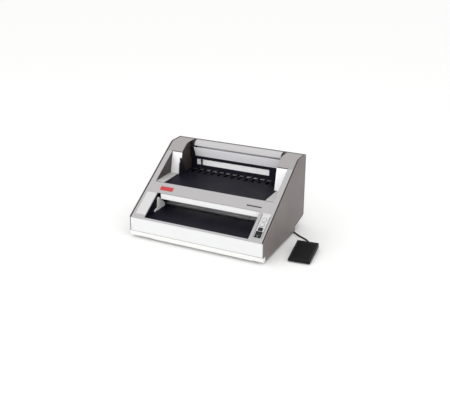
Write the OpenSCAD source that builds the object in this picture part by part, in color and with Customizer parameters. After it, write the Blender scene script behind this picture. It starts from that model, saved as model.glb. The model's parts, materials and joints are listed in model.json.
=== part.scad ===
// Electric comb binding machine with a punching throat, a comb-opening bay and a foot pedal.
// X runs along the paper's edge, the operator stands at -Y, and Z = 0 is the table.

/* [Overall] */
// Width over the side covers
body_w = 530; // [530:2:640]
// Depth from the apron to the rear cover
body_d = 385; // [385:5:470]
// Height from the table to the top
body_h = 282; // [282:2:345]

/* [Casing] */
// Height of the rubber feet
foot_h = 9; // [8:0.5:14]
// Height of the base pan's skirt
base_h = 17; // [14:1:22]
// Height of the drawer's white front
apron_h = 57; // [50:1:70]
// Depth of the flat top behind the slope
top_d = 73; // [70:1:80]
// Thickness of the moulded covers
skin = 3; // [2.5:0.5:3.5]
// Gap between the fascia and the side covers
side_gap = 3.5; // [2:0.5:5]
// Radius where the slope turns into the top
crown_r = 40; // [20:5:60]
// Radius of the top rear corner
rear_r = 6; // [3:1:10]
// Depth of the raised bottom behind the base pan
overhang_d = 73.5; // [65:0.5:80]

/* [Fascia] */
// Clear width of the punching bay
bay_w = 411; // [380:1:411]
// Clear width between the upper rails
rail_w = 476; // [470:1:480]
// Height of the lower opening along the slope
low_open = 116; // [110:1:120]
// Height of the crossbar along the slope
crossbar_h = 48; // [44:1:50]
// Height of the upper opening along the slope
up_open = 154; // [148:1:158]
// Height of the front lip along the slope
lip_h = 5; // [4:0.5:7]

/* [Controls] */
// Width of the control plate
panel_w = 34; // [32:1:38]
// Height of the control plate along the slope
panel_h = 104; // [100:1:106]
// Width of the rocker switch
rocker_w = 20; // [18:1:26]
// Height of the rocker switch
rocker_h = 21; // [18:1:22]
// Radius of the round buttons
button_r = 7; // [6:0.5:8]

/* [Punch] */
// Distance between punched holes
pitch = 14.2875; // [14.2875]
// Number of punch pins
pin_count = 24; // [19:1:24]
// Width of one punched hole
pin_w = 8; // [7:0.1:8]
// Depth of one punched hole
pin_d = 3.2; // [2.8:0.1:3.4]
// Stroke of the punch ram
stroke = 10; // [10:0.5:11]
// Height of the paper slot
slot_h = 3; // [2.5:0.5:3.5]
// Radius of the drive shaft
shaft_r = 8; // [6.5:0.5:10]
// Radius of the drive shaft's eccentrics
ecc_r = 14; // [14:0.5:15]

/* [Comb opener] */
// Number of hook plates
hook_count = 13; // [9:2:13]
// Width of one hook plate
hook_w = 17; // [15:1:18]
// Width between the upper cheeks
cheek_w = 390; // [386:1:392]
// Height of the upper deck's top face
deck_z = 171; // [170:1:173]
// Width of the window in the back wall
window_w = 307; // [250:1:310]
// Height of the window in the back wall
window_h = 23; // [16:1:24]

/* [Gears] */
// Module of every gear
gear_m = 1.5; // [1.5]
// Teeth on the drive gear
gear_teeth = 48; // [40:1:48]
// Teeth on the two pinions
pinion_teeth = 14; // [14:1:15]
// Width of the gears' faces
gear_w = 10; // [8:1:12]

/* [Pedal] */
// Width of the foot pedal
pedal_w = 77; // [70:1:90]
// Length of the foot pedal
pedal_l = 130; // [120:1:160]
// Height of the pedal's rear end
pedal_h = 26; // [24:1:30]
// Diameter of the pedal's cord
cord_d = 5.5; // [4:0.5:6]

/* [Hidden] */
$fn = 64;
hw = body_w / 2;
y_front = -body_d / 2;
y_rear = body_d / 2;
base_top = foot_h + base_h;
lip_z = base_top + apron_h;
heel_z = base_top + 17; // where the rear face ends
slope_run = body_d - top_d;
slope_a = atan((body_h - lip_z) / slope_run);
base_rear = y_rear - overhang_d;
in_x = hw - skin;
fascia_x = in_x - side_gap;
bay_x = bay_w / 2;
rail_x = rail_w / 2;
cheek_x = cheek_w / 2;
s_low = lip_h + low_open;
s_cross = s_low + crossbar_h;
s_cap = s_cross + up_open;
fit = 0.05;      // running clearance on a shaft
clear = 0.4;     // clearance round a sliding part
sheet = 2;       // steel sheet
plate = 4;       // chassis plate
seam = 0.5;      // visible seam between covers
apron_gap = 1.5; // shadow gap under the drawer's front
lip_drop = 4;    // the fascia's front edge, folded down

// Punch: the paper lies on the lower deck and meets the die behind the throat
low_deck_z = lip_z - 2;
throat_y = y_front + s_low * cos(slope_a) + 54;
tool_d = 29;
pin_y = throat_y + tool_d / 2;
die_h = 8;
strip_z = low_deck_z + slot_h;
strip_h = 8;
guide_gap = 0.8;
guide_h = 8;
guide_top = strip_z + strip_h + guide_gap + guide_h;
ram_z = guide_top + stroke + 1;
ram_h = 36;
ram_d = 16;
tool_w = pin_count * pitch + 34;
chin_drop = 21;

// Drive: one shaft with three eccentrics works inside the ram's yokes
ecc = stroke / 2;
gear_or = gear_m * (gear_teeth / 2 + 1);
shaft_y = pin_y + ram_d / 2 + ecc_r + ecc + 10;
shaft_z = deck_z - sheet - gear_or - 3.5;
motor_y = shaft_y + gear_m * (gear_teeth + pinion_teeth) / 2;
yoke_x = [-100, 0, 100];
yoke_t = 8;
yoke_free = 1.4; // room for the difference between a sine and a straight ramp
gear_x = bay_x + plate + 3;
motor_r = 26;
motor_l = 92;

// Comb opener
wall_y = y_rear - 37.5;
hook_pitch = 2 * pitch;
hook_travel = 28;
hook_y = wall_y - 19;
hook_l = 14;
riser_w = 8;
rod_x = 112;
rod_r = 4;
rod_z = deck_z - 17;
rod_y = wall_y - 60;
rack_x = -60;
rack_z = deck_z - 19;
opener_y = wall_y - 45;
opener_z = rack_z - gear_m * pinion_teeth / 2;
opener_r = 14;
window_x = -172;
window_z = deck_z + 16;

// Top beam, trough and lid
beam_z = deck_z + 49;
block_x = cheek_x - 0.5;
band_y = y_rear - 14;
hinge_y = band_y - 5;
hinge_z = body_h - 4;
hinge_r = 2;
beam_y = y_rear - 46.5;
beam_top = body_h - 23;
beam_lean = 0.385; // the front face's run per rise
lid_r = 24;
lid_at = [beam_y + lid_r + 3, body_h - lid_r];
lid_from = 163;
block_in = cheek_x - 14;
pillar_y = slope_pt(s_cap)[0] - 19;

// Controls, placed along the slope
panel_x = bay_x + 11.5;
control_x = panel_x + panel_w / 2;
panel_s = lip_h + 10;
rocker_s = panel_s + 15;
key_s = panel_s + 36;
round_s = [panel_s + 55, panel_s + 75];
inset_x = -(rail_x + 11);
inset_w = 42;
tray_x = 190;

// Rear sockets
socket_x = 190;
socket_z = 62;
socket_r = 7;
jack_r = 3.15;
plug_r = 6;
plug_l = 21.5;
inlet_x = -180;
inlet_z = 70;

// Pedal, standing at the machine's right
pedal_at = [hw + 95, -60, 0];
pedal_yaw = 6;
pad_h = 3;
pedal_wall = 2.5;
pedal_pin_y = -pedal_l / 2 + 12;
pedal_pin_z = 6.5;
pedal_pin_r = 2;
pedal_front_h = 12;
tread_t = 2.5;
spring_y = 30;
gland_z = 8;

// Route of the cord on the table: centre points in the order plug, coil, pedal
cord_r = cord_d / 2;
coil_at = [110, 214.5];
coil_r = 33;
coil_wide = 3; // turns side by side
coil_high = 2; // turns on each other
cord_sag = 0.5;
drop_route = [
    [190, 216, 62], [190, 224, 61], [190, 232, 58], [190, 238, 51], [190, 241, 42], [190, 242, 32],
    [188, 243, 22], [184, 244, 13], [176, 246, 6], [165, 248, 3], [152, 250, 4], [138, 252, 6],
    [124, 253, 8], [110, 253, 8.5]];
run_route = [
    [110, 176, 3], [125, 176, 3], [140, 175, 3], [155, 173, 3], [170, 169, 3], [184, 163, 3], [198, 155, 3],
    [211, 146, 3], [223, 136, 3], [235, 125, 3], [247, 114, 3], [259, 104, 3], [272, 94, 3], [285, 84, 3],
    [299, 75, 3], [313, 67, 3], [326, 59, 3], [337, 49, 3], [345, 38, 4], [350, 28, 5], [352, 18, 7],
    [353, 8, 8]];

// ---- helpers ----

// Extrudes a profile drawn in Y and Z from x0, over the width w
module along_x(x0, w) translate([x0, 0, 0]) rotate([90, 0, 90]) linear_extrude(w) children();

// Local X, distance up the slope and height above the fascia's face
module on_slope() translate([0, y_front, lip_z]) rotate([slope_a, 0, 0]) children();

module box(lo, hi) translate(lo) cube(hi - lo);

module mirror_x(side) mirror([side < 0 ? 1 : 0, 0, 0]) children();

module rod_along_x(x0, x1, y, z, r) translate([x0, y, z]) rotate([0, 90, 0]) cylinder(h = x1 - x0, r = r);

module rod_along_y(x, y0, y1, z, r) translate([x, y0, z]) rotate([-90, 0, 0]) cylinder(h = y1 - y0, r = r);

// Point of the side profile at distance s up the slope and n above it
function slope_pt(s, n = 0) = [y_front, lip_z] + s * [cos(slope_a), sin(slope_a)]
    + n * [-sin(slope_a), cos(slope_a)];

function arc(c, r, a0, a1, steps) = [
    for (i = [0:steps]) let (a = a0 + (a1 - a0) * i / steps) c + r * [cos(a), sin(a)]];

// Slope, crown and flat top, all moved inwards by the inset n
function roof(n, y_end) = let (
    r = crown_r - n,
    z = body_h - n,
    s_top = (body_h - lip_z) / sin(slope_a),
    t = crown_r * tan(slope_a / 2),
    c = [slope_pt(s_top)[0] + t, body_h - crown_r]
) concat(arc(c, r, 90 + slope_a, 90, 8), [[y_end, z]]);

// Closed tube of the radius r swept along the points p
function unit(v) = v / norm(v);
function sweep_ring(p, i, r, sides) = let (
    t = unit(p[min(i + 1, len(p) - 1)] - p[max(i - 1, 0)]),
    u = unit(cross(t, abs(t[2]) > 0.8 ? [1, 0, 0] : [0, 0, 1])),
    v = cross(u, t)
) [for (k = [0:sides - 1]) p[i] + r * (cos(360 * k / sides) * u + sin(360 * k / sides) * v)];

module sweep(p, r, sides) {
    n = len(p);
    points = [for (i = [0:n - 1]) each sweep_ring(p, i, r, sides)];
    walls = [for (i = [0:n - 2], k = [0:sides - 1]) let (m = (k + 1) % sides) each [
        [i * sides + k, i * sides + m, (i + 1) * sides + m],
        [i * sides + k, (i + 1) * sides + m, (i + 1) * sides + k]]];
    ends = [[for (k = [sides - 1:-1:0]) k], [for (k = [0:sides - 1]) (n - 1) * sides + k]];
    polyhedron(points, concat(walls, ends));
}

// Involute gear with its teeth centred on +X and every further pitch angle
function turn(p, a) = [p[0] * cos(a) - p[1] * sin(a), p[0] * sin(a) + p[1] * cos(a)];
function involute(rb, t) = rb * [cos(t) + t * PI / 180 * sin(t), sin(t) - t * PI / 180 * cos(t)];

module gear(teeth, w, bore, backlash = 0.15) {
    pressure = 20;
    rp = gear_m * teeth / 2;
    rb = rp * cos(pressure);
    ro = rp + gear_m;
    rr = rp - 1.25 * gear_m;
    t_out = sqrt(pow(ro / rb, 2) - 1) * 180 / PI;
    t_in = rr > rb ? sqrt(pow(rr / rb, 2) - 1) * 180 / PI : 0;
    half = 90 / teeth - backlash / 2 / rp * 180 / PI + tan(pressure) * 180 / PI - pressure;
    flank = [for (i = [0:5]) turn(involute(rb, t_in + (t_out - t_in) * i / 5), -half)];
    side = concat(rr < rb ? [turn([rr, 0], -half)] : [], flank);
    tooth = concat(side, [for (i = [len(side) - 1:-1:0]) [side[i][0], -side[i][1]]]);
    linear_extrude(w) difference() {
        polygon([for (k = [0:teeth - 1], q = tooth) turn(q, 360 * k / teeth)]);
        if (bore > 0) circle(bore);
    }
}

// ---- casing ----

// Half width x, from y0 to y1, with the rear corners rounded
module pan_outline(x, y0, y1, r) {
    translate([-x, y0]) square([2 * x, y1 - y0 - r]);
    translate([-x + r, y0]) square([2 * (x - r), y1 - y0]);
    for (side = [-1, 1]) translate([side * (x - r), y1 - r]) circle(r);
}

module base_pan() color("whitesmoke") {
    relief_h = 5;
    difference() {
        translate([0, 0, foot_h]) linear_extrude(base_h) pan_outline(hw, y_front, base_rear, 18);
        translate([0, 0, foot_h + skin]) linear_extrude(base_h)
            pan_outline(in_x, y_front + skin, base_rear - skin, 15);
        for (x = [[-hw - 1, -170], [227, hw + 1]])
            box([x[0], y_front - 1, foot_h - 1], [x[1], y_front + skin - 1, foot_h + relief_h]);
    }
    for (x = [-1, 1]) translate([x * (tray_x - 8), 0, 0])
        box([-3, y_front + 12, foot_h + skin], [3, throat_y + tool_d, base_top]);
}

// Four corner feet, and a fifth under the middle that keeps the pan from flexing
module rubber_feet() color("#1c1c1e") {
    corners = [for (x = [-1, 1], y = [y_front + 27, y_rear - 108]) [x * (hw - 40), y]];
    for (at = concat([[0, 0]], corners)) translate(at)
        rotate_extrude() polygon([[0, 0], [9.5, 0], [11, 1.5], [11, foot_h], [0, foot_h]]);
}

module side_cover(side) color("#7b716f") mirror_x(side) difference() {
    along_x(in_x, skin) polygon(concat(
        [[y_front, base_top], slope_pt(0)],
        roof(0, y_rear - rear_r),
        arc([y_rear - rear_r, body_h - rear_r], rear_r, 90, 0, 5),
        [[y_rear, heel_z], [y_rear - 8, heel_z - 5], [base_rear, base_top]]));
    if (side < 0) for (i = [0:7]) box([in_x - 1, y_rear - 62, 72 + 9 * i], [hw + 1, y_rear - 32, 75 + 9 * i]);
}
module left_side_cover() side_cover(-1);
module right_side_cover() side_cover(1);

module rear_cover() color("#6e6967") difference() {
    along_x(-in_x, 2 * in_x) polygon(concat(
        [[band_y, body_h]],
        arc([y_rear - rear_r, body_h - rear_r], rear_r, 90, 0, 5),
        [[y_rear, heel_z], [y_rear - 8, heel_z - 5], [base_rear, base_top]],
        [[base_rear, base_top + skin], [y_rear - 9, heel_z - 5 + skin], [y_rear - skin, heel_z + 2]],
        arc([y_rear - rear_r, body_h - rear_r], rear_r - skin, 0, 90, 5),
        [[band_y, body_h - skin]]));
    rod_along_y(socket_x, y_rear - skin - 1, y_rear + 1, socket_z, socket_r);
    box([inlet_x - 14, y_rear - skin - 1, inlet_z - 10], [inlet_x + 14, y_rear + 1, inlet_z + 10]);
    for (i = [0:9]) box([-50, y_rear - skin - 1, 72 + 9 * i], [50, y_rear + 1, 75 + 9 * i]);
}

module fascia() color("#beb9b7") on_slope() difference() {
    down = lip_drop * [-sin(slope_a), -cos(slope_a)];
    back = 2 * [cos(slope_a), -sin(slope_a)];
    along_x(-fascia_x, 2 * fascia_x) polygon([
        [0, 0], down, down + back, [4, -skin], [s_cap - seam, -skin], [s_cap - seam, 0]]);
    translate([-bay_x, lip_h, -skin - 1]) cube([bay_w, low_open, skin + 2]);
    translate([-rail_x, s_cross, -skin - 1]) cube([rail_w, up_open, skin + 2]);
    translate([panel_x, panel_s, -skin - 1]) cube([panel_w, panel_h, skin + 2]);
    translate([inset_x, panel_s, -skin - 1]) cube([inset_w, panel_h, skin + 2]);
}

module cap(side) color("#a6a19f") mirror_x(side) along_x(cheek_x, fascia_x - cheek_x) polygon(concat(
    [slope_pt(s_cap)],
    roof(0, band_y - seam),
    [for (i = [9:-1:0]) roof(skin, band_y - seam)[i]],
    [slope_pt(s_cap, -skin)]));
module left_cap() cap(-1);
module right_cap() cap(1);

// ---- fascia fittings ----

// A plate let into the fascia, carried by a wider flange behind it
module let_in(x, w) {
    flange = 3;
    translate([x + clear, panel_s + clear, -skin]) cube([w - 2 * clear, panel_h - 2 * clear, skin]);
    translate([x + plate, panel_s - flange, -skin - 2]) cube([w - 2 * plate, panel_h + 2 * flange, 2]);
}

module inset_plate() color("#c9c6c4") on_slope() let_in(inset_x, inset_w);

module control_plate() color("#cbc8c6") on_slope() difference() {
    let_in(panel_x, panel_w);
    x = control_x;
    translate([x - rocker_w / 2 - 2, rocker_s - rocker_h / 2 - 2, -9]) cube([rocker_w + 4, rocker_h + 4, 20]);
    translate([x - 7.5 - clear, key_s - 5.5 - clear, -9]) cube([15 + 2 * clear, 11 + 2 * clear, 20]);
    for (s = round_s) translate([x, s, -9]) cylinder(h = 20, r = button_r + clear);
}

module switch_body() color("#17171a") on_slope() translate([control_x, rocker_s, 0]) difference() {
    translate([-rocker_w / 2 - 2, -rocker_h / 2 - 2, -24]) cube([rocker_w + 4, rocker_h + 4, 25]);
    translate([-rocker_w / 2, -rocker_h / 2, -14]) cube([rocker_w, rocker_h, 20]);
    translate([-rocker_w, 0, -5]) rotate([0, 90, 0]) cylinder(h = 2 * rocker_w, r = 1.5 + fit);
}

module rocker() color("#0d0d0f") on_slope() translate([control_x, rocker_s, -5]) {
    w = rocker_w - 2 * clear;
    reach = rocker_h / 2 - 1;
    rotate([90, 0, 90]) translate([0, 0, -w / 2]) linear_extrude(w)
        polygon([[-reach, 5], [-3, -3], [3, -3], [reach, 5], [reach, 8.5], [0, 6.5], [-reach, 8.5]]);
    translate([-rocker_w / 2 - 2, 0, 0]) rotate([0, 90, 0]) cylinder(h = rocker_w + 4, r = 1.5);
}

module punch_key() color("#0d0d0f") on_slope() translate([control_x, key_s, 0]) {
    translate([-7.5, -5.5, -8]) cube([15, 11, 11.5]);
    translate([-9, -7, -9]) cube([18, 14, 1.5]);
}

module round_button(s) on_slope() translate([control_x, s, 0]) {
    translate([0, 0, -8]) cylinder(h = 9.5, r = button_r);
    translate([0, 0, -9]) cylinder(h = 1.5, r = button_r + 1.5);
}
module open_button() color("#dcdad8") round_button(round_s[0]);
module close_button() color("#dcdad8") round_button(round_s[1]);

module badges() on_slope() {
    color("#b3262a") translate([-177, s_low + 22, 0]) linear_extrude(1) round_rect(52, 17, 3);
    color("#2a2a2e") translate([177, s_low + 17, 0]) linear_extrude(0.8) round_rect(56, 4.5, 1);
}

module round_rect(w, h, r) {
    square([w - 2 * r, h], center = true);
    square([w, h - 2 * r], center = true);
    for (x = [-1, 1], y = [-1, 1]) translate([x * (w / 2 - r), y * (h / 2 - r)]) circle(r);
}

// ---- chip drawer ----

module chip_drawer() color("#f2f3f4") {
    wall = 2;
    tray_h = 36;
    z = base_top + clear;
    tray_y = throat_y + tool_d - 2;
    box([-in_x + seam, y_front, base_top + apron_gap],
        [in_x - seam, y_front + skin, lip_z - lip_drop - seam]);
    difference() {
        box([-tray_x, y_front + skin, z], [tray_x, tray_y, z + tray_h]);
        box([-tray_x + wall, y_front + skin + wall, z + wall],
            [tray_x - wall, tray_y - wall, z + tray_h + 1]);
    }
}

// ---- chassis ----

module chassis_plate(side) color("#1d1a22") mirror_x(side) difference() {
    z = deck_z - sheet;
    n = -skin - 0.2;
    s_top = (z - lip_z - n * cos(slope_a)) / sin(slope_a);
    along_x(bay_x, plate) polygon([
        [y_front + 6, foot_h + skin], slope_pt((y_front + 6 - slope_pt(0, n)[0]) / cos(slope_a), n),
        slope_pt(s_top, n), [wall_y, z], [wall_y, base_top + 12], [base_rear - 22, base_top + 12],
        [base_rear - 22, foot_h + skin]]);
    rod_along_x(bay_x - 1, bay_x + plate + 1, shaft_y, shaft_z, shaft_r + 3);
    if (side > 0) rod_along_x(bay_x - 1, bay_x + plate + 1, motor_y, shaft_z, 8);
}
module left_chassis_plate() chassis_plate(-1);
module right_chassis_plate() chassis_plate(1);

module lower_deck() color("#24202e")
    box([-bay_x, y_front + 7, low_deck_z - sheet], [bay_x, throat_y, low_deck_z]);

module edge_guide() color("#d4d2d0") along_x(-bay_x + 1, 3) polygon([
    [throat_y - 85, low_deck_z + clear], [throat_y - 12, low_deck_z + clear],
    [throat_y - 12, low_deck_z + 12],
    [throat_y - 52, strip_z + 46], [throat_y - 62, strip_z + 46], [throat_y - 66, low_deck_z + 12],
    [throat_y - 85, low_deck_z + 8]]);

// Upright face behind the crossbar's lower edge, folded back down to the throat
module chin_panel() color("#e9eaea") {
    t = 2.5;
    a = slope_pt(s_low, -skin - 0.3) + [1, -0.5];
    c = a - [0, chin_drop];
    b = [throat_y - 3, guide_top + 1];
    run = unit(b - c);
    side = [-run[1], run[0]];
    fold = c + t * side + t * (1 - side[0]) / run[0] * run;
    along_x(-cheek_x, cheek_x + bay_x) polygon([a, c, b, b + t * side, fold, a + [t, 0]]);
}

// ---- punch ----

module pin_row(w, d) for (i = [0:pin_count - 1])
    translate([(i - (pin_count - 1) / 2) * pitch - w / 2, pin_y - d / 2]) square([w, d]);

// A tool plate with a guided hole for every pin
module tool_plate(z, h, x, y0, play) difference() {
    box([-x, y0, z], [x, throat_y + tool_d, z + h]);
    translate([0, 0, z - 1]) linear_extrude(h + 2) pin_row(pin_w + 2 * play, pin_d + 2 * play);
}

module die_plate() color("#9a9b9a") tool_plate(low_deck_z - die_h, die_h, bay_x, throat_y, 0.3);
module stripper_plate() color("#9a9b9a") tool_plate(strip_z, strip_h, bay_x, throat_y, 0.3);
module guide_plate() color("#b5b6b4")
    tool_plate(strip_z + strip_h + guide_gap, guide_h, bay_x - 10, throat_y + 2, 0.3);

module punch_pins() color("#c8c9cb") translate([0, 0, strip_z + 2]) linear_extrude(ram_z - strip_z - 2)
    pin_row(pin_w, pin_d);

module punch_ram() color("#8e9093") {
    box([-tool_w / 2, pin_y - ram_d / 2, ram_z], [tool_w / 2, pin_y + ram_d / 2, ram_z + ram_h]);
    window = ecc_r + yoke_free;
    y1 = pin_y + ram_d / 2;
    for (x = yoke_x) along_x(x - yoke_t / 2, yoke_t) difference() {
        translate([y1, shaft_z + ecc - window - 5]) square([2 * (shaft_y - y1) - 4, 2 * window + 10]);
        translate([shaft_y - ecc_r - ecc - 2, shaft_z + ecc - window])
            square([2 * (ecc_r + ecc + 2), 2 * window]);
    }
}

module drive_shaft() color("#b9bbbe") {
    rod_along_x(-bay_x - 9, gear_x + gear_w + 2, shaft_y, shaft_z, shaft_r);
    for (x = yoke_x) rod_along_x(x - yoke_t / 2, x + yoke_t / 2, shaft_y, shaft_z + ecc, ecc_r);
}

module shaft_bearings() color("#b08d57") for (side = [-1, 1]) mirror_x(side) difference() {
    union() {
        rod_along_x(bay_x, bay_x + plate, shaft_y, shaft_z, shaft_r + 3);
        rod_along_x(bay_x - 2, bay_x, shaft_y, shaft_z, shaft_r + 6);
    }
    rod_along_x(bay_x - 3, bay_x + plate + 1, shaft_y, shaft_z, shaft_r + fit);
}

module gear_along_x(x, y, z, teeth, w, bore, phase) translate([x, y, z]) rotate([90, 0, 90]) rotate(phase)
    gear(teeth, w, bore);

module drive_gear() color("#54585e") gear_along_x(gear_x, shaft_y, shaft_z, gear_teeth, gear_w, shaft_r, 0);

module motor_pinion() color("#c8c9cb") {
    phase = 180 + (pinion_teeth % 2 == 0 ? 180 / pinion_teeth : 0);
    gear_along_x(gear_x, motor_y, shaft_z, pinion_teeth, gear_w, 0, phase);
    rod_along_x(bay_x - 8, gear_x, motor_y, shaft_z, 4);
}

module gear_motor() color("#6a6d70") difference() {
    union() {
        rod_along_x(bay_x - 24, bay_x, motor_y, shaft_z, motor_r);
        rod_along_x(bay_x - motor_l, bay_x - 24, motor_y, shaft_z, motor_r - 4);
    }
    rod_along_x(bay_x - 9, bay_x + 1, motor_y, shaft_z, 4 + fit);
}

// ---- upper bay ----

module upper_deck() color("#24202e") {
    slot_w = riser_w + 3;
    post = 6;
    y0 = slope_pt(s_cross)[0] + 3;
    difference() {
        box([-bay_x, y0, deck_z - sheet], [bay_x, wall_y, deck_z]);
        for (i = [0:hook_count - 1]) translate([(i - (hook_count - 1) / 2) * hook_pitch, 0, 0])
            box([-slot_w / 2, hook_y - hook_travel - 2, deck_z - 5], [slot_w / 2, hook_y + 4, deck_z + 1]);
    }
    for (x = [-rod_x, rod_x], y = [rod_y, wall_y - post]) difference() {
        box([x - 8, y, rod_z - 8], [x + 8, y + post, deck_z - sheet]);
        rod_along_y(x, y - 1, y + post + 1, rod_z, rod_r);
    }
}

module bay_walls() for (side = [-1, 1]) mirror_x(side) {
    ledge_z = deck_z + 2;
    y0 = slope_pt(s_cross, -skin)[0] + 3;
    n = -skin - 0.2;
    wall_s = (ledge_z - lip_z - n * cos(slope_a)) / sin(slope_a) + 1;
    ledge_y = max(y0, slope_pt(wall_s, n)[0] + 0.3);
    color("#c3bfbd") box([bay_x, ledge_y, deck_z], [rail_x, pillar_y - 0.5, ledge_z]);
    color("#4a3f3c") along_x(rail_x, 2) polygon([
        [y0, deck_z], slope_pt(wall_s, n), slope_pt(s_cap - 3, n), [slope_pt(s_cap - 3, n)[0], deck_z]]);
}

module pillar_panels() color("#f0f0f2") for (side = [-1, 1]) mirror_x(side) {
    top = slope_pt(s_cap - 1, -skin - 0.3);
    along_x(cheek_x, rail_x - cheek_x - 0.5) polygon([
        [pillar_y, deck_z + clear], [pillar_y + 2.5, deck_z + clear], top + [0.6, 0], top + [-1.9, -1.2]]);
}

module upper_cheeks() color("#231d1f") for (side = [-1, 1]) mirror_x(side) {
    top = slope_pt(s_cap - 1, -skin - 0.3);
    under = [for (q = roof(skin + 0.3, beam_y)) if (q[0] > top[0] + 1) q];
    along_x(cheek_x, 2.5) polygon(concat(
        [[pillar_y + 3, deck_z], top + [1.2, -0.4]], under,
        [[beam_y, beam_z], [wall_y, beam_z], [wall_y, deck_z]]));
}

module back_wall() color("#312f32") difference() {
    box([-bay_x, wall_y, 60], [bay_x, wall_y + sheet, beam_z]);
    box([window_x, wall_y - 1, window_z], [window_x + window_w, wall_y + sheet + 1, window_z + window_h]);
}

module window_strip() color("#d0cecc")
    box([window_x - 8, wall_y + sheet, window_z - 8],
        [window_x + window_w + 8, wall_y + sheet + 3, window_z + window_h + 6]);

module tine_bar() color("#2b2930") {
    h = 5;
    box([-cheek_x + 8, wall_y - 4, deck_z], [cheek_x - 8, wall_y, deck_z + 2.5]);
    for (i = [0:hook_count]) translate([(i - hook_count / 2) * hook_pitch, 0, 0])
        box([-2.5, wall_y - 6, deck_z], [2.5, wall_y - 4, deck_z + h]);
}

module hook_bar() color("#b9bbbe") {
    bar_z = deck_z - 13;
    lug_d = 12;
    top = deck_z + 2.5;
    difference() {
        union() {
            box([-cheek_x + 18, hook_y, bar_z], [cheek_x - 18, hook_y + 8, bar_z + 6]);
            for (x = [-rod_x, rod_x]) box([x - 8, hook_y, rod_z - 7], [x + 8, hook_y + lug_d, bar_z + 6]);
        }
        for (x = [-rod_x, rod_x]) rod_along_y(x, hook_y - 1, hook_y + lug_d + 1, rod_z, rod_r + fit);
    }
    for (i = [0:hook_count - 1]) translate([(i - (hook_count - 1) / 2) * hook_pitch, hook_y, 0]) {
        box([-riser_w / 2, 0, bar_z + 6], [riser_w / 2, 2, top]);
        box([-hook_w / 2, 0, top - 1.5], [hook_w / 2, hook_l, top]);
    }
    rack();
}

// Straight teeth below the hook bar, in mesh with the opener's pinion
module rack() {
    p = PI * gear_m;
    teeth = 11;
    half = p / 4 - 0.1;
    tip = gear_m * tan(20);
    root = 1.25 * gear_m * tan(20);
    back = 5;
    top = rack_z + 1.25 * gear_m;
    y0 = opener_y - 2.5 * p;
    translate([rack_x, 0, 0]) along_x(0, gear_w) union() {
        translate([y0 - p / 2, top]) square([teeth * p, back]);
        for (i = [0:teeth - 1]) translate([y0 + i * p, rack_z]) polygon([[-half + tip, -gear_m],
            [half - tip, -gear_m], [half + root, 1.25 * gear_m], [-half - root, 1.25 * gear_m]]);
    }
}

module guide_rods() color("#c8c9cb") for (x = [-rod_x, rod_x]) rod_along_y(x, rod_y, wall_y, rod_z, rod_r);

module opener_pinion() color("#c8c9cb") {
    gear_along_x(rack_x, opener_y, opener_z, pinion_teeth, gear_w, 0, 90);
    rod_along_x(rack_x + gear_w, rack_x + gear_w + 12, opener_y, opener_z, 3);
}

module opener_motor() color("#6a6d70") difference() {
    x = rack_x + gear_w + 3;
    union() {
        rod_along_x(x + 3, x + 58, opener_y, opener_z, opener_r);
        box([x, opener_y - 20, foot_h + skin], [x + 3, opener_y + 4, opener_z + opener_r]);
        box([x + 3, opener_y - 20, foot_h + skin], [x + 24, opener_y - 4, foot_h + skin + 3]);
    }
    rod_along_x(x - 1, x + 10, opener_y, opener_z, 3 + fit);
}

module comb_stop() color("#1b191d") {
    x = window_x + 19;
    box([x, wall_y - 4, deck_z + 6], [x + 6, wall_y - clear, deck_z + 40]);
    box([x - 3, wall_y - 9, deck_z + 6], [x + 9, wall_y - clear, deck_z + 10]);
    box([x + 1, wall_y - clear, window_z + 1], [x + 5, wall_y + sheet - clear, window_z + 6]);
}

module side_guide() color("#1b191d") along_x(-cheek_x + 0.6, 3) polygon([
    [pillar_y - 14, deck_z + clear], [pillar_y + 32, deck_z + clear], [pillar_y + 32, deck_z + 22],
    [pillar_y + 6, deck_z + 66], [pillar_y - 2, deck_z + 66], [pillar_y - 2, deck_z + 50],
    [pillar_y - 8, deck_z + 50]]);

// ---- top beam ----

function beam_front(z) = beam_y + (beam_top - z) * beam_lean;

module comb_trough() color("#d9d8dc") {
    t = 2.5;
    y1 = band_y - 2;
    z1 = body_h - 12;
    along_x(-block_in, 2 * block_in) polygon([
        [beam_y, beam_top], [beam_front(beam_z), beam_z], [y1, beam_z], [y1, z1], [y1 - t, z1],
        [y1 - t, beam_z + t], [beam_front(beam_z + t) + t, beam_z + t], [beam_y + t, beam_top]]);
}

// The lid's front edge curls down to a shadow gap over the beam's front
module lid_profile() polygon(concat(
    arc(lid_at, lid_r, lid_from, 90, 10), [[band_y - 3, body_h], [band_y - 3, body_h - skin]],
    arc(lid_at, lid_r - skin, 90, lid_from, 10)));

module pivot_blocks() color("#141317") for (side = [-1, 1]) mirror_x(side) {
    along_x(block_in + 0.5, block_x - block_in - 0.5) polygon(concat(
        [[beam_front(beam_z), beam_z], [beam_y, beam_top]],
        arc(lid_at, lid_r, 172, 90, 10),
        [[band_y - 1, body_h], [band_y - 1, beam_z]]));
    rod_along_x(block_in - 10, block_in + 0.5, hinge_y, hinge_z, hinge_r);
}

module top_lid() color("#ecebea") {
    x = block_in - 0.5;
    difference() {
        union() {
            along_x(-x, 2 * x) lid_profile();
            for (side = [-1, 1]) mirror_x(side) rod_along_x(x - 11, x, hinge_y, hinge_z, hinge_r + 1.9);
        }
        for (side = [-1, 1]) mirror_x(side) rod_along_x(x - 12, x + 1, hinge_y, hinge_z, hinge_r + fit);
    }
}

// ---- rear sockets ----

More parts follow.
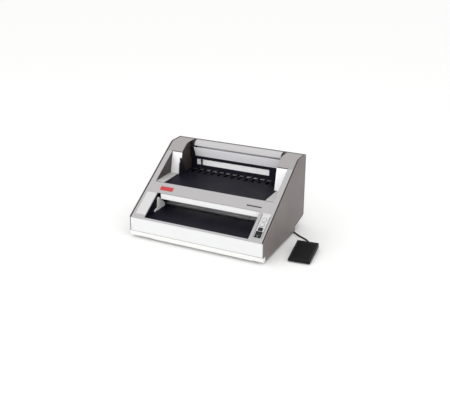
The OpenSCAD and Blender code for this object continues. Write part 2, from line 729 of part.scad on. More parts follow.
module mains_inlet() color("#131315") translate([inlet_x, y_rear, inlet_z]) {
    depth = 19;
    difference() {
        union() {
            translate([-14, -depth - 2, -10]) cube([28, depth + 2, 20]);
            translate([-17, 0, -13]) cube([34, 2, 26]);
        }
        translate([-12, -depth, -8]) cube([24, depth + 3, 16]);
    }
    for (p = [[-7, 0], [7, 0], [0, 3]]) translate([p[0] - 1, -depth, p[1] - 2.2]) cube([2, 15, 4.4]);
}

module pedal_socket() color("#1a1a1d") difference() {
    union() {
        rod_along_y(socket_x, y_rear - 16, y_rear, socket_z, socket_r);
        rod_along_y(socket_x, y_rear, y_rear + 2, socket_z, socket_r + 2);
    }
    rod_along_y(socket_x, y_rear - 14, y_rear + 3, socket_z, jack_r + fit);
}

module jack_plug() color("#1c1c1f") {
    y0 = y_rear + 2;
    rod_along_y(socket_x, y0 - 14, y0, socket_z, jack_r);
    translate([socket_x, y0, socket_z]) rotate([-90, 0, 0]) rotate_extrude() polygon([
        [0, 0], [plug_r, 0], [plug_r, 12], [plug_r - 1, 14], [plug_r - 1.6, 14], [cord_r + 0.4, plug_l],
        [0, plug_l]]);
}

// ---- cord ----

module drop_cord() color("#1e1b1a") sweep(drop_route, cord_r, 8);
module run_cord() color("#1e1b1a") sweep(run_route, cord_r, 8);

module cord_coil() color("#1e1b1a") translate([coil_at[0], coil_at[1], 0])
    rotate_extrude() translate([coil_r - coil_wide * cord_r, 0])
        square([coil_wide * cord_d, coil_high * cord_d + cord_sag]);

// ---- pedal ----

module on_pedal() translate(pedal_at) rotate([0, 0, pedal_yaw]) children();

// Height of the treadle's underside at y
function tread_under(y) = pedal_front_h - tread_t
    + (y + pedal_l / 2 - pedal_wall) * (pedal_h - 1 - pedal_front_h) / (pedal_l - 2 * pedal_wall);

// The pedal's floor, its low walls and the cord's gland, inside the treadle's skirts
module pedal_base() color("#1b1a20") on_pedal() {
    w = pedal_w / 2 - pedal_wall - 1.5;
    y0 = -pedal_l / 2 + pedal_wall + 1;
    y1 = pedal_l / 2 - pedal_wall - 1;
    h = 10;
    difference() {
        union() {
            box([-w, y0, pad_h], [w, y1, pad_h + pedal_wall]);
            for (x = [-w, w - pedal_wall]) along_x(x, pedal_wall) polygon([[y0, pad_h], [y0, 7],
                [pedal_pin_y - 3, 9.2], [pedal_pin_y + 6, 9.2], [y1, h], [y1, pad_h]]);
            box([-w, y1 - pedal_wall, pad_h], [w, y1, h]);
            box([-8, y1 - 6, pad_h], [8, y1, gland_z + 3.8]);
            rod_along_y(0, y1, y1 + 8, gland_z, 4);
        }
        rod_along_x(-w - 1, w + 1, pedal_pin_y, pedal_pin_z, pedal_pin_r);
        rod_along_y(0, y1 - 7, y1 + 9, gland_z, cord_r);
    }
}

module pedal_treadle() color("#14131b") on_pedal() difference() {
    w = pedal_w / 2;
    y0 = -pedal_l / 2;
    y1 = pedal_l / 2;
    along_x(-w, 2 * w) polygon([[y0, 4], [y0, pedal_front_h - 2], [y0 + 2, pedal_front_h],
        [y1 - 3, pedal_h], [y1, pedal_h - 3], [y1, pedal_h - 18], [y0 + 30, 4.5], [y0 + 16, 3.5]]);
    along_x(-w + pedal_wall, 2 * w - 2 * pedal_wall) polygon([[y0 + pedal_wall, 0],
        [y0 + pedal_wall, tread_under(y0 + pedal_wall)], [y1 - pedal_wall, tread_under(y1 - pedal_wall)],
        [y1 - pedal_wall, 0]]);
    box([-13, y1 - pedal_wall - 1, 0], [13, y1 + 1, pedal_h - 3.5]);
    rod_along_x(-w - 1, w + 1, pedal_pin_y, pedal_pin_z, pedal_pin_r + fit);
}

module pedal_pin() color("#b9bbbe") on_pedal()
    rod_along_x(-pedal_w / 2 + 0.3, pedal_w / 2 - 0.3, pedal_pin_y, pedal_pin_z, pedal_pin_r);

module pedal_spring() color("#c8c9cb") on_pedal() translate([0, spring_y, pad_h + pedal_wall]) {
    turns = 5;
    wire = 0.7;
    r = 5;
    steps = 12;
    h = tread_under(spring_y - r) - pad_h - pedal_wall - 0.3;
    sweep([for (i = [0:turns * steps]) let (a = 360 / steps * i)
        [r * cos(a), r * sin(a), wire + (h - 2 * wire) * i / turns / steps]], wire, 6);
}

module pedal_switch() color("#26313f") on_pedal() translate([-10, 4, pad_h + pedal_wall]) {
    cube([20, 7, 5]);
    translate([4, 1.5, 5]) cube([3, 4, 0.8]);
}

module pedal_feet() color("#101012") on_pedal() for (x = [-1, 1], y = [-1, 1])
    translate([x * (pedal_w / 2 - 14), y * (pedal_l / 2 - 20), 0]) cylinder(h = pad_h, r = 7);

base_pan();
rubber_feet();
left_side_cover();
right_side_cover();
rear_cover();
fascia();
left_cap();
right_cap();
inset_plate();
control_plate();
switch_body();
rocker();
punch_key();
open_button();
close_button();
badges();
chip_drawer();
left_chassis_plate();
right_chassis_plate();
lower_deck();
edge_guide();
chin_panel();
die_plate();
stripper_plate();
guide_plate();
punch_pins();
punch_ram();
drive_shaft();
shaft_bearings();
drive_gear();
motor_pinion();
gear_motor();
upper_deck();
bay_walls();
pillar_panels();
upper_cheeks();
back_wall();
window_strip();
tine_bar();
hook_bar();
guide_rods();
opener_pinion();
opener_motor();
comb_stop();
side_guide();
comb_trough();
pivot_blocks();
top_lid();
mains_inlet();
pedal_socket();
jack_plug();
drop_cord();
cord_coil();
run_cord();
pedal_base();
pedal_treadle();
pedal_pin();
pedal_spring();
pedal_switch();
pedal_feet();
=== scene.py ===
"""Looks of the comb binding machine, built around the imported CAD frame. Lengths are in metres."""

import json
import math

import bmesh
import bpy
from mathutils import Matrix, Vector


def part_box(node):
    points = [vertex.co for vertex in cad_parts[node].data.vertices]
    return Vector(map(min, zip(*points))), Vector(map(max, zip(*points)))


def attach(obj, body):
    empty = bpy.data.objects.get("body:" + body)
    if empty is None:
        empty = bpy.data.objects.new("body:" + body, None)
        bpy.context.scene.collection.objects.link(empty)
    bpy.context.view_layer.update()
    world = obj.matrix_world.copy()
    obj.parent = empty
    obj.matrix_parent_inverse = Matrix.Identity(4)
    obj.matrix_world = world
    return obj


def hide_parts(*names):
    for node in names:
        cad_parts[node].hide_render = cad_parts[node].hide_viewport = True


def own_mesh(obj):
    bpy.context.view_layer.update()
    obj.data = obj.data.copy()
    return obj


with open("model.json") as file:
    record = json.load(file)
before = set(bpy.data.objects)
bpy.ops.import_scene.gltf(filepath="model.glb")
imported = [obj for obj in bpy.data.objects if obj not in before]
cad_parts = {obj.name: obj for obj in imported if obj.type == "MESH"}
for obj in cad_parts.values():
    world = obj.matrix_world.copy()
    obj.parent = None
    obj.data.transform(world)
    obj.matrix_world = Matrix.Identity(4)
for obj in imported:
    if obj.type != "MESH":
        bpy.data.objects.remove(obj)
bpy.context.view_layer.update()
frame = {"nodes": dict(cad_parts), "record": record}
NODES = frame["nodes"]
MM = 0.001

# ---- camera ----

CAMERA_AZIMUTH, CAMERA_ELEVATION = math.radians(26.2), math.radians(22.1)
CAMERA_DISTANCE = 2.585
CAMERA_AIM = Vector((0.0266, 0.0, 0.1263))
LENS_MM, SENSOR_MM = 56.3, 36.0


def make_camera():
    level = math.cos(CAMERA_ELEVATION)
    back = Vector((math.sin(CAMERA_AZIMUTH) * level, -math.cos(CAMERA_AZIMUTH) * level, math.sin(CAMERA_ELEVATION)))
    data = bpy.data.cameras.new("camera")
    data.sensor_width = SENSOR_MM
    data.lens = LENS_MM
    camera = bpy.data.objects.new("camera", data)
    bpy.context.scene.collection.objects.link(camera)
    camera.location = CAMERA_AIM + back * CAMERA_DISTANCE
    camera.rotation_euler = back.to_track_quat("Z", "Y").to_euler()
    bpy.context.scene.camera = camera


make_camera()

# ---- shader helpers ----

MOTTLE_SCALE = 9.0      # slow changes of colour and gloss
SPECK, SPECK_LIFT = 0.25, 0.14  # how much the fine grain darkens the colour, and how much is given back
WEAR_WIDTH = 0.0012
RELIEF_DEPTH = 0.0004


def shade(colour, k):
    return tuple(min(1.0, max(0.0, c * k)) for c in colour) + (1.0,)


def feed(tree, socket, value):
    """Links an output to a socket, or sets the socket's own value."""
    if isinstance(value, bpy.types.NodeSocket):
        tree.links.new(value, socket)
    else:
        socket.default_value = value


def mix_colours(tree, a, b, factor, blend="MIX"):
    mix = tree.nodes.new("ShaderNodeMix")
    mix.data_type = "RGBA"
    mix.blend_type = blend
    for name, value in (("A", a), ("B", b), ("Factor", factor)):
        feed(tree, mix.inputs[name], value)
    return mix.outputs["Result"]


def calculate(tree, operation, a, b):
    step = tree.nodes.new("ShaderNodeMath")
    step.operation = operation
    feed(tree, step.inputs[0], a)
    feed(tree, step.inputs[1], b)
    return step.outputs[0]


def noise(tree, place, scale, detail):
    texture = tree.nodes.new("ShaderNodeTexNoise")
    texture.inputs["Scale"].default_value = scale
    texture.inputs["Detail"].default_value = detail
    tree.links.new(place, texture.inputs["Vector"])
    return texture.outputs["Fac"]


def map_range(tree, value, from_range, to_range):
    ranged = tree.nodes.new("ShaderNodeMapRange")
    for name, number in zip(("From Min", "From Max", "To Min", "To Max"), (*from_range, *to_range)):
        ranged.inputs[name].default_value = number
    tree.links.new(value, ranged.inputs["Value"])
    return ranged.outputs["Result"]


def add_zone(tree, place, tint, output, axis, limit, colour):
    """A second colour where the place or the surface normal is past a limit along "X", "Z", "-Y" or "abs X"."""
    split = tree.nodes.new("ShaderNodeSeparateXYZ")
    tree.links.new(place.outputs[output], split.inputs[0])
    operation = "ABSOLUTE" if axis == "abs X" else "MULTIPLY"
    size = calculate(tree, operation, split.outputs[axis[-1]], -1.0 if axis == "-Y" else 1.0)
    past = calculate(tree, "GREATER_THAN", size, limit)
    return mix_colours(tree, tint, shade(colour, 1.0), past)


def wear_edges(tree, tint, colour, amount):
    """Lightens the colour at the edges."""
    bevel = tree.nodes.new("ShaderNodeBevel")
    bevel.samples = 4
    bevel.inputs["Radius"].default_value = WEAR_WIDTH
    geometry = tree.nodes.new("ShaderNodeNewGeometry")
    dot = tree.nodes.new("ShaderNodeVectorMath")
    dot.operation = "DOT_PRODUCT"
    tree.links.new(bevel.outputs["Normal"], dot.inputs[0])
    tree.links.new(geometry.outputs["Normal"], dot.inputs[1])
    worn = map_range(tree, dot.outputs["Value"], (1.0, 0.9), (0.0, amount))
    return mix_colours(tree, tint, shade([c + 0.12 for c in colour], 1.3), worn)


def material(name, colour, rough=0.5, metal=0.0, grain=900.0, bump=0.15, vary=0.06, rough_vary=0.08,
             stretch=(1, 1, 1), coat=0.0, edge=0.0, specular=0.5, zone=None):
    """Procedural finish: moulded or ground grain, slow colour changes and uneven gloss.
    A zone is (output, axis, limit, colour), as add_zone takes them."""
    mat = bpy.data.materials.new(name)
    mat.use_nodes = True
    tree = mat.node_tree
    shader = tree.nodes["Principled BSDF"]
    for socket, value in (("Metallic", metal), ("Specular IOR Level", specular), ("Coat Weight", coat),
                          ("Coat Roughness", 0.15)):
        shader.inputs[socket].default_value = value
    place = tree.nodes.new("ShaderNodeTexCoord")
    scaled = tree.nodes.new("ShaderNodeMapping")
    scaled.inputs["Scale"].default_value = stretch
    tree.links.new(place.outputs["Object"], scaled.inputs["Vector"])
    slow = noise(tree, place.outputs["Object"], MOTTLE_SCALE, 5.0)
    fine = noise(tree, scaled.outputs["Vector"], grain, 3.0)

    tint = mix_colours(tree, shade(colour, 1.0 - vary), shade(colour, 1.0 + vary), slow)
    if zone:
        tint = add_zone(tree, place, tint, *zone)
    speckled = mix_colours(tree, tint, fine, SPECK, "MULTIPLY")
    tint = mix_colours(tree, speckled, tint, SPECK_LIFT, "ADD")
    if edge:
        tint = wear_edges(tree, tint, colour, edge)
    tree.links.new(tint, shader.inputs["Base Color"])

    gloss = map_range(tree, slow, (0.3, 0.7), (max(0.03, rough - rough_vary), min(1.0, rough + rough_vary)))
    tree.links.new(gloss, shader.inputs["Roughness"])

    relief = tree.nodes.new("ShaderNodeBump")
    relief.inputs["Strength"].default_value = bump
    relief.inputs["Distance"].default_value = RELIEF_DEPTH
    tree.links.new(fine, relief.inputs["Height"])
    tree.links.new(relief.outputs["Normal"], shader.inputs["Normal"])
    return mat


# ---- materials ----

ALONG_X = (0.03, 1.0, 1.0)
TAUPE = (0.165, 0.142, 0.137)
RED = (0.50, 0.016, 0.022)
INK = (0.022, 0.018, 0.022)
LEDGE = (0.50, 0.485, 0.475)
# painted shade for the upper bay's side walls, which are the ledge's grey in shadow
BAY_WALL_SHADE = (0.050, 0.038, 0.035)
# painted highlight: light colour for the hook plates' upward faces
HOOK_TOP_HIGHLIGHT = (0.80, 0.80, 0.81)
FRONT_WHITE = (0.76, 0.76, 0.745)

MAT = {
    "white_plastic": material("white_plastic", (0.69, 0.692, 0.695), 0.42, vary=0.015, bump=0.10),
    "taupe_plastic": material("taupe_plastic", TAUPE, 0.55, vary=0.05, bump=0.30, grain=1100),
    "cap_plastic": material("cap_plastic", (0.33, 0.31, 0.31), 0.5, vary=0.035, bump=0.25),
    "rear_plastic": material("rear_plastic", (0.125, 0.113, 0.112), 0.55, vary=0.05, bump=0.30),
    "fascia_plastic": material("fascia_plastic", (0.405, 0.395, 0.40), 0.48, vary=0.025, bump=0.22),
    "panel_plastic": material("panel_plastic", (0.58, 0.575, 0.58), 0.4, vary=0.02, bump=0.12),
    "dark_coat": material("dark_coat", (0.0060, 0.0048, 0.0115), 0.55, vary=0.15, bump=0.3, grain=1600,
                          edge=0.18, specular=0.12),
    "dark_plastic": material("dark_plastic", (0.009, 0.008, 0.010), 0.42, vary=0.12, bump=0.2,
                             edge=0.10, specular=0.3),
    "brown_plastic": material("brown_plastic", (0.040, 0.029, 0.027), 0.5, vary=0.08, bump=0.25, specular=0.3),
    "black_gloss": material("black_gloss", (0.005, 0.005, 0.006), 0.24, vary=0.1, bump=0.05, specular=0.35),
    "steel": material("steel", (0.56, 0.56, 0.56), 0.34, metal=1.0, grain=700, bump=0.12, vary=0.05,
                      stretch=ALONG_X, edge=0.3),
    "zinc": material("zinc", (0.68, 0.68, 0.70), 0.3, metal=1.0, grain=500, bump=0.10, vary=0.08,
                     rough_vary=0.10, edge=0.2),
    "bronze": material("bronze", (0.50, 0.34, 0.15), 0.38, metal=1.0, vary=0.08),
    "motor_metal": material("motor_metal", (0.10, 0.105, 0.115), 0.42, metal=0.3, bump=0.2),
    "gear_steel": material("gear_steel", (0.22, 0.225, 0.24), 0.36, metal=1.0, grain=800, vary=0.12,
                           rough_vary=0.1, edge=0.4),
    "badge_red": material("badge_red", RED, 0.3, vary=0.05, bump=0.05, coat=0.2),
    "white_gloss": material("white_gloss", (0.90, 0.895, 0.905), 0.34, vary=0.02, bump=0.08),
    "trough_plastic": material("trough_plastic", (0.86, 0.85, 0.88), 0.4, vary=0.02, bump=0.12),
    "rubber": material("rubber", (0.010, 0.010, 0.011), 0.78, vary=0.15, bump=0.4, grain=700, specular=0.15),
    "cord_rubber": material("cord_rubber", (0.010, 0.009, 0.009), 0.48, vary=0.12, grain=1500, specular=0.35),
    "pedal_plastic": material("pedal_plastic", (0.0035, 0.0035, 0.0050), 0.46, vary=0.12, bump=0.28, grain=1300,
                              edge=0.10, specular=0.16),
}

# Nodes whose finish differs from their slot's: most have a second colour past some place.
NODE_MAT = {
    "top_lid": material("lid_plastic", (0.50, 0.49, 0.495), 0.42, vary=0.02, bump=0.10),
    "badges": material("badge_enamel", RED, 0.3, vary=0.04, bump=0.05, coat=0.2,
                       zone=("Object", "X", 0.0, INK)),
    # bay walls: the side walls past |x| 0.238 m painted dark brown, a painted shade; they are the same grey as the
    # ledge
    "bay_walls": material("bay_wall", LEDGE, vary=0.04, bump=0.22, zone=("Object", "abs X", 0.23795, BAY_WALL_SHADE)),
    "base_pan": material("base_pan", TAUPE, vary=0.04, bump=0.2, zone=("Object", "-Y", 0.176, FRONT_WHITE)),
    # hook plates: dark steel with their upward faces painted light, a painted highlight where the light catches
    # their tops
    "hook_bar": material("hook_plates", (0.05, 0.05, 0.055), 0.34, metal=1.0, grain=700, bump=0.12, vary=0.08,
                         stretch=ALONG_X, zone=("Normal", "Z", 0.8, HOOK_TOP_HIGHLIGHT)),
}

# ---- mesh helpers ----

SMOOTH_ANGLE = math.radians(35)


def add_object(name, data):
    obj = bpy.data.objects.new(name, data)
    bpy.context.scene.collection.objects.link(obj)
    return obj


def piece(name, mesh_maker, slot, body):
    """A new piece from bmesh code, with its finish, riding on a body."""
    bm = bmesh.new()
    mesh_maker(bm)
    bmesh.ops.recalc_face_normals(bm, faces=bm.faces)
    mesh = bpy.data.meshes.new(name)
    bm.to_mesh(mesh)
    bm.free()
    obj = add_object(name, mesh)
    mesh.materials.append(MAT[slot])
    for polygon in mesh.polygons:
        polygon.use_smooth = True
    mesh.set_sharp_from_angle(angle=SMOOTH_ANGLE)
    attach(obj, body)
    return obj


def facing(spot, direction):
    """Places local Z along a direction, with the origin at a spot."""
    return Matrix.Translation(spot) @ direction.to_track_quat("Z", "Y").to_matrix().to_4x4()


def axes(x, y, z, origin):
    """Places local X, Y and Z along three directions, with the origin at a point."""
    place = Matrix((x, y, z)).transposed().to_4x4()
    place.translation = origin
    return place


def lathe(bm, outline, place, sides):
    """Turns an outline of (radius, height) about local Z."""
    rings = []
    for r, z in outline:
        if r < 1e-7:
            rings.append([bm.verts.new(place @ Vector((0, 0, z)))])
            continue
        rings.append([bm.verts.new(place @ Vector((r * math.cos(a), r * math.sin(a), z)))
                      for a in (2 * math.pi * k / sides for k in range(sides))])
    for low, high in zip(rings, rings[1:]):
        for k in range(sides):
            corners = [low[k % len(low)], low[(k + 1) % len(low)], high[(k + 1) % len(high)], high[k % len(high)]]
            corners = list(dict.fromkeys(corners))
            if len(corners) > 2:
                bm.faces.new(corners)


def ring(bm, place, inner, outer, thick, sides):
    outline = [(inner, 0.0), (inner, thick), (outer, thick), (outer, 0.0), (inner, 0.0)]
    lathe(bm, outline, place, sides)


def block(bm, size, place, round_to=0.0):
    """A block of the given size about its own centre, with its edges rounded."""
    made = bmesh.ops.create_cube(bm, size=1.0, matrix=place @ Matrix.Diagonal((*size, 1.0)))
    if round_to:
        edges = list({e for v in made["verts"] for e in v.link_edges})
        bmesh.ops.bevel(bm, geom=edges, offset=round_to, segments=2, profile=0.7, affect="EDGES")


def smooth_path(points, steps):
    """Catmull-Rom curve through the points, with some steps between each pair."""
    padded = [points[0] * 2 - points[1], *points, points[-1] * 2 - points[-2]]
    path = []
    for a, b, c, d in zip(padded, padded[1:], padded[2:], padded[3:]):
        for k in range(steps):
            t = k / steps
            path.append(0.5 * (2 * b + (c - a) * t + (2 * a - 5 * b + 4 * c - d) * t * t
                               + (3 * b - a - 3 * c + d) * t ** 3))
    path.append(points[-1])
    return path


# ---- the pedal's cord ----

CORD_D = 0.0055
COIL_AT = Vector((0.110, 0.2145, 0.0))
COIL_R = 0.033
LOWER_Z = 0.003         # centre line of the coil's lower layer
COIL_START, COIL_END = 90, 270 + 5 * 360
LANE_SPAN, DOWN_SPAN = 82, 96
INWARDS_AT, DOWN_AT, OUTWARDS_AT = (340, 700), 1026, (1365, 1725)
DROP_ROUTE = [          # mm, from the plug down to the coil
    (190, 216, 62), (190, 224, 61), (190, 232, 58), (190, 238, 51), (190, 241, 42), (190, 242, 32), (188, 243, 22),
    (184, 244, 13), (176, 246, 6), (165, 248, 3), (152, 250, 4), (138, 252, 6), (124, 253, 8), (110, 253, 8.5)]
RUN_ROUTE = [           # mm, from the coil to the pedal's gland
    (110, 176, 3), (125, 176, 3), (140, 175, 3), (155, 173, 3), (170, 169, 3), (184, 163, 3), (198, 155, 3),
    (211, 146, 3), (223, 136, 3), (235, 125, 3), (247, 114, 3), (259, 104, 3), (272, 94, 3), (285, 84, 3),
    (299, 75, 3), (313, 67, 3), (326, 59, 3), (337, 49, 3), (345, 38, 4), (350, 28, 5), (352, 18, 7),
    (353, 8, 8)]
BOOT_LENGTH, BOOT_RIBS = 0.022, 6
GRIP_RIBS = 5


def eased(angle, start, span):
    """0 before start and 1 after the span, by a cosine."""
    x = min(1.0, max(0.0, (angle - start) / span))
    return 0.5 - 0.5 * math.cos(math.pi * x)


def coil_point(angle):
    """The coil's centre line: inwards over the upper layer, down, and outwards along the lower one. Each change of
    lane is in a sector where the neighbouring turns change too, so they stay a diameter apart."""
    inwards = sum(eased(angle, start, LANE_SPAN) for start in INWARDS_AT)
    down = eased(angle, DOWN_AT, DOWN_SPAN)
    outwards = sum(eased(angle, start, LANE_SPAN) for start in OUTWARDS_AT)
    radius = COIL_R + CORD_D * (1 - inwards + outwards)
    a = math.radians(angle)
    return COIL_AT + Vector((radius * math.cos(a), radius * math.sin(a), LOWER_Z + CORD_D * (1 - down)))


def cord_line():
    drop = [Vector(p) * MM for p in DROP_ROUTE]
    coil = [coil_point(a) for a in range(COIL_START + 15, COIL_END, 15)]
    run = [Vector(p) * MM for p in RUN_ROUTE]
    return smooth_path(drop + coil + run, 3)


def make_cord():
    line = list(reversed(cord_line()))
    curve = bpy.data.curves.new("pedal_cord", "CURVE")
    curve.dimensions = "3D"
    curve.bevel_depth = CORD_D / 2
    curve.bevel_resolution = 5
    curve.use_fill_caps = True
    spline = curve.splines.new("POLY")
    spline.points.add(len(line) - 1)
    for point, at in zip(spline.points, line):
        point.co = (*at, 1.0)
    curve.materials.append(MAT["cord_rubber"])
    cord = add_object("pedal_cord", curve)
    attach(cord, "frame")
    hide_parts("drop_cord", "cord_coil", "run_cord")
    return cord, line


def make_boot():
    """Ribbed taper on the cord where it leaves the pedal's gland."""
    outline = [(0.0, 0.0), (0.0042, 0.0)]
    for k in range(BOOT_RIBS):
        z = BOOT_LENGTH * (k + 0.5) / BOOT_RIBS
        wide = 0.0044 - 0.0012 * k / BOOT_RIBS
        outline += [(wide, z - 0.0012), (wide, z + 0.0006), (wide - 0.0007, z + 0.0009), (wide - 0.0007, z + 0.0016)]
    outline += [(CORD_D / 2 + 0.0002, BOOT_LENGTH), (0.0, BOOT_LENGTH)]
    start, towards = (Vector(RUN_ROUTE[k]) * MM for k in (-1, -3))
    place = facing(start, towards - start)
    return piece("pedal_boot", lambda bm: lathe(bm, outline, place, 24), "cord_rubber", "frame")


def make_plug():
    """Moulded jack plug: metal tip in the socket, ribbed grip and a taper over the cord."""
    low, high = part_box("jack_plug")
    centre = (low + high) / 2
    socket_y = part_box("pedal_socket")[1].y
    length = high.y - socket_y
    place = facing(Vector((centre.x, socket_y, centre.z)), Vector((0, length, 0)))
    outline = [(0.0, 0.0), (0.0056, 0.0), (0.006, 0.0005)]
    for k in range(GRIP_RIBS):
        z = 0.002 + 0.0018 * k
        outline += [(0.006, z), (0.0055, z + 0.0004), (0.0055, z + 0.0009), (0.006, z + 0.0013)]
    outline += [(0.006, 0.0115), (0.005, 0.0135), (0.0042, 0.0145), (0.0033, length), (0.0, length)]
    grip = piece("plug_grip", lambda bm: lathe(bm, outline, place, 36), "cord_rubber", "frame")
    pin = [(0.0, -0.0139), (0.0018, -0.0135), (0.0030, -0.012), (0.0030, -0.0105), (0.0024, -0.0098),
           (0.0031, -0.009), (0.0031, 0.0), (0.0, 0.0)]
    metal = piece("plug_pin", lambda bm: lathe(bm, pin, place, 28), "zinc", "frame")
    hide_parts("jack_plug")
    return [grip, metal]


cord, cord_path = make_cord()
plug_pieces = make_plug()
boot = make_boot()

# ---- finish of the CAD nodes ----

BEVEL_MM = {
    "left_side_cover": 1.2, "right_side_cover": 1.2, "rear_cover": 1.2, "left_cap": 1.5, "right_cap": 1.5,
    "base_pan": 1.5, "fascia": 1.0, "chin_panel": 1.0, "pillar_panels": 0.8, "top_lid": 1.0,
    "upper_cheeks": 1.2, "bay_walls": 0.8, "pedal_base": 1.5, "pedal_treadle": 1.8, "rocker": 0.5,
    "switch_body": 0.5, "control_plate": 0.25, "badges": 0.3, "window_strip": 0.6, "inset_plate": 0.5,
}
FINE_BEVEL_MM = 0.4
SHARP_ANGLE = math.radians(32)
SAME_POINT = 1e-6


def soften(obj, width):
    """Rounds the sharp edges of a CAD node, with modifiers only."""
    weld = obj.modifiers.new("weld", "WELD")
    weld.merge_threshold = SAME_POINT
    bevel = obj.modifiers.new("bevel", "BEVEL")
    bevel.width = width
    bevel.segments = 2
    bevel.limit_method = "ANGLE"
    bevel.angle_limit = SHARP_ANGLE
    bevel.harden_normals = True
    bevel.loop_slide = False


def dress_nodes():
    for part in frame["record"]["subparts"]:
        name, slot = part["node"], part["material_slot"]
        obj = NODES[name]
        obj.data.materials.clear()
        obj.data.materials.append(NODE_MAT.get(name, MAT[slot]))
        if not obj.hide_render:
            soften(obj, BEVEL_MM.get(name, FINE_BEVEL_MM) * MM)


dress_nodes()
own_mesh(NODES["pedal_spring"])

# ---- fittings and printed marks ----

PRINT_T = 0.00012
PRINT_LINE = 0.0016
MARK_LINE = (0.0006, 0.0034, PRINT_T)
ON_SURFACE = 2e-4       # how far below its highest point a flat face is still the same face


def top_face(node, normal):
    """The vertices of a node that lie on its outermost plane along a normal, and that plane's distance."""
    points = [v.co for v in NODES[node].data.vertices]
    height = max(p.dot(normal) for p in points)
    return [p for p in points if height - p.dot(normal) < ON_SURFACE], height


def face_frame(node):
    """A frame on a node's largest upward face: X level, Y up the face, Z out of it, with its half sizes."""
    top = max((p for p in NODES[node].data.polygons if p.normal.z > 0.3), key=lambda p: p.area)
    normal = top.normal.copy()
    level = Vector((0, 0, 1)).cross(normal)
    level = level.normalized() if level.length > 1e-4 else Vector((1, 0, 0))
    uphill = normal.cross(level)
    face, height = top_face(node, normal)
    spans = [(min(p.dot(axis) for p in face), max(p.dot(axis) for p in face)) for axis in (level, uphill)]
    centre = sum(((lo + hi) / 2 * axis for (lo, hi), axis in zip(spans, (level, uphill))), height * normal)
    return axes(level, uphill, normal, centre), [(hi - lo) / 2 for lo, hi in spans]


def print_marks(bm):
    """Outline of the control plate and the buttons' rings, as thin raised ink."""
    place, (half_w, half_h) = face_frame("control_plate")
    x, y = half_w - PRINT_LINE, half_h - PRINT_LINE
    for side, top_gap in ((-1, 0.004), (1, 0.010)):
        block(bm, (PRINT_LINE, 2 * y - top_gap, PRINT_T), place @ Matrix.Translation((side * x, -top_gap / 2, 0)))
    block(bm, (2 * x, PRINT_LINE, PRINT_T), place @ Matrix.Translation((0, -y, 0)))
    for node in ("open_button", "close_button"):
        low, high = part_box(node)
        spot = place.inverted() @ ((low + high) / 2)
        ring(bm, place @ Matrix.Translation((spot.x, spot.y, 0)), 0.0085, 0.0091, PRINT_T, 48)


def rocker_marks(bm):
    """A line on the rocker's upper half and a ring on its lower half."""
    low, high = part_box("rocker")
    middle = (low + high) / 2
    faces = sorted((p for p in NODES["rocker"].data.polygons if p.normal.z > 0.4), key=lambda p: -p.area)
    normals = []
    for face in faces:
        if all(face.normal.dot(n) < 0.999 for n in normals):
            normals.append(face.normal.copy())
    for normal in normals[:2]:
        side, _ = top_face("rocker", normal)
        centre = sum(side, Vector()) / len(side)
        centre.x = middle.x
        level = Vector((1, 0, 0))
        place = axes(level, normal.cross(level), normal, centre)
        if centre.z > middle.z:
            block(bm, MARK_LINE, place)
        else:
            ring(bm, place, 0.0013, 0.0018, PRINT_T, 28)


def surface_spot(node, start, towards):
    """Where a ray meets a CAD node, and the outward normal there."""
    hit, spot, normal, _ = NODES[node].ray_cast(Vector(start), Vector(towards))
    if not hit:
        raise RuntimeError(f"no surface of {node} from {start}")
    return spot, normal


def rear_spot(x, z):
    """The point of the rear cover's outside at x and z, and its normal."""
    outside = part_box("rear_cover")[1].y + 0.05
    return surface_spot("rear_cover", (x, outside, z), (0, -1, 0))


def screw(bm, spot, normal, r=0.0032):
    """Pan head with a cross recess."""
    place = facing(spot, normal)
    lathe(bm, [(0.0, 0.0), (r, 0.0), (r, 0.0006), (0.88 * r, 0.0013), (0.6 * r, 0.0017), (0.3 * r, 0.0018),
               (0.22 * r, 0.0008), (0.0, 0.0006)], place, 28)
    for turn in (20, 110):
        block(bm, (0.95 * r, 0.18 * r, 0.0006),
              place @ Matrix.Rotation(math.radians(turn), 4, "Z") @ Matrix.Translation((0, 0, 0.00155)))


def rear_screws(bm):
    low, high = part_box("rear_cover")
    top_row = high.z - 0.022
    for x in (low.x + 0.012, high.x - 0.012):
        for z in (0.050, 0.150, top_row):
            screw(bm, *rear_spot(x, z))
    for x in (-0.130, 0.130):
        screw(bm, *rear_spot(x, top_row))


def inlet_screws(bm):
    low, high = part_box("mains_inlet")
    for z in (low.z - 0.006, high.z + 0.006):
        screw(bm, *rear_spot((low.x + high.x) / 2, z), 0.0026)


def base_screws(bm):
    low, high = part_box("base_pan")
    for x in (low.x + 0.070, high.x - 0.070):
        for y in (low.y + 0.050, high.y - 0.040):
            screw(bm, *surface_spot("base_pan", (x, y, -0.05), (0, 0, 1)), 0.0034)


def rating_plate(bm):
    """Plain metal plate, with no lettering, held by two rivets."""
    place = facing(*rear_spot(0.110, 0.115))
    block(bm, (0.060, 0.034, 0.0008), place @ Matrix.Translation((0, 0, 0.0004)), 0.0003)
    for x in (-0.026, 0.026):
        lathe(bm, [(0.0, 0.0008), (0.0015, 0.0008), (0.0012, 0.0015), (0.0, 0.0018)],
              place @ Matrix.Translation((x, 0, 0)), 20)


def tread_ribs(bm):
    """Low rubber ribs across the foot plate."""
    place, (half_w, half_l) = face_frame("pedal_treadle")
    count, reach = 14, half_l - 0.012
    for k in range(count):
        y = reach * (2 * k / (count - 1) - 1)
        block(bm, (2 * (half_w - 0.008), 0.0022, 0.0009), place @ Matrix.Translation((0, y, 0.0003)), 0.0004)


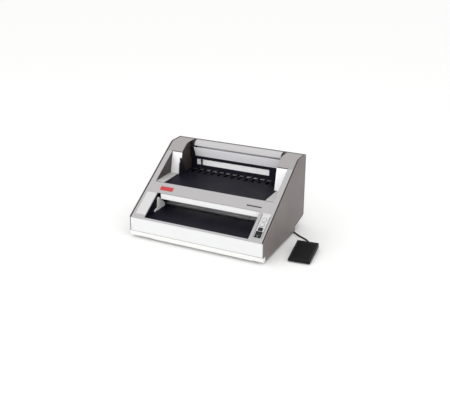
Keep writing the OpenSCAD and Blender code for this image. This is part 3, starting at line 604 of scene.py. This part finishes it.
def seam_shadow_strips(bm):
    """Dark rubber strips in the seams between the fascia and the side covers, standing in for the shadow in the
    gaps: painted shadow.
    """
    place, _ = face_frame("fascia")
    low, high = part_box("fascia")
    uphill = place.to_3x3() @ Vector((0, 1, 0))
    length = (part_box("left_cap")[0].z - low.z) / uphill.z - 0.006
    for x in (low.x - 0.0003, high.x + 0.0003):
        seam = place.copy()
        seam.translation = Vector((x, place.translation.y, place.translation.z))
        block(bm, (0.0005, length, 0.0026), seam @ Matrix.Translation((0, 0, -0.0016)))


def coil_ties(bm):
    """Two bands round the coil's turns, each of a top strip and two side strips."""
    wide, thick = 0.006, 0.0008
    r_in, r_out = COIL_R - 1.5 * CORD_D, COIL_R + 1.5 * CORD_D
    bottom, top = 0.0004, LOWER_Z + 1.5 * CORD_D
    middle, height = (bottom + top) / 2, top - bottom + thick
    up = Vector((0, 0, 1))
    for angle in (150, 215):
        out = Vector((math.cos(math.radians(angle)), math.sin(math.radians(angle)), 0))
        place = axes(out, up, out.cross(up), COIL_AT)
        for x, y, w, h in (((r_in + r_out) / 2, top + thick / 2, r_out - r_in + 2 * thick, thick),
                           (r_in - thick / 2, middle, thick, height),
                           (r_out + thick / 2, middle, thick, height)):
            block(bm, (w, h, wide), place @ Matrix.Translation((x, y, 0)), 0.0003)


for fitting in (
        ("panel_print", print_marks, "dark_plastic", "frame"),
        ("rocker_print", rocker_marks, "white_gloss", "power_rocker"),
        ("rear_cover_screws", rear_screws, "zinc", "frame"),
        ("inlet_screws", inlet_screws, "zinc", "frame"),
        ("base_screws", base_screws, "zinc", "frame"),
        ("rear_plate", rating_plate, "zinc", "frame"),
        ("tread_ribs", tread_ribs, "rubber", "treadle"),
        ("seam_shadow_strips", seam_shadow_strips, "rubber", "frame"),
        ("coil_ties", coil_ties, "rubber", "frame")):
    piece(*fitting)

# ---- floor and light ----

FLOOR_HALF = 30.0
FLOOR_PAINT = (0.97, 0.97, 0.965, 1.0)
LIGHTS = (  # name, place, aim, size, power in watts
    ("key", (-1.5, -2.6, 1.1), (0, 0, 0.1), (1.4, 1.0), 8),
    ("low_front", (-0.3, -2.8, 0.42), (0, 0, 0.13), (2.6, 0.6), 15),
    ("top", (0.2, 0.3, 2.6), (0, 0, 0.1), (2.4, 2.0), 7),
)


def make_floor():
    mesh = bpy.data.meshes.new("floor")
    bm = bmesh.new()
    bmesh.ops.create_grid(bm, x_segments=2, y_segments=2, size=FLOOR_HALF)
    bm.to_mesh(mesh)
    bm.free()
    paint = bpy.data.materials.new("floor_paint")
    paint.use_nodes = True
    inputs = paint.node_tree.nodes["Principled BSDF"].inputs
    inputs["Base Color"].default_value = FLOOR_PAINT
    inputs["Roughness"].default_value = 0.9
    inputs["Specular IOR Level"].default_value = 0.05
    mesh.materials.append(paint)
    add_object("floor", mesh)


def area_light(name, at, aim, size, power):
    data = bpy.data.lights.new(name, "AREA")
    data.shape = "RECTANGLE"
    data.size, data.size_y = size
    data.energy = power
    lamp = add_object(name, data)
    lamp.location = at
    lamp.rotation_euler = (Vector(at) - Vector(aim)).to_track_quat("Z", "Y").to_euler()


def make_world():
    world = bpy.data.worlds.new("studio")
    bpy.context.scene.world = world
    world.use_nodes = True
    background = world.node_tree.nodes["Background"]
    background.inputs["Color"].default_value = (1.0, 1.0, 1.0, 1.0)
    background.inputs["Strength"].default_value = 1.0


make_floor()
make_world()
for light in LIGHTS:
    area_light(*light)
bpy.context.scene.view_settings.view_transform = "Standard"
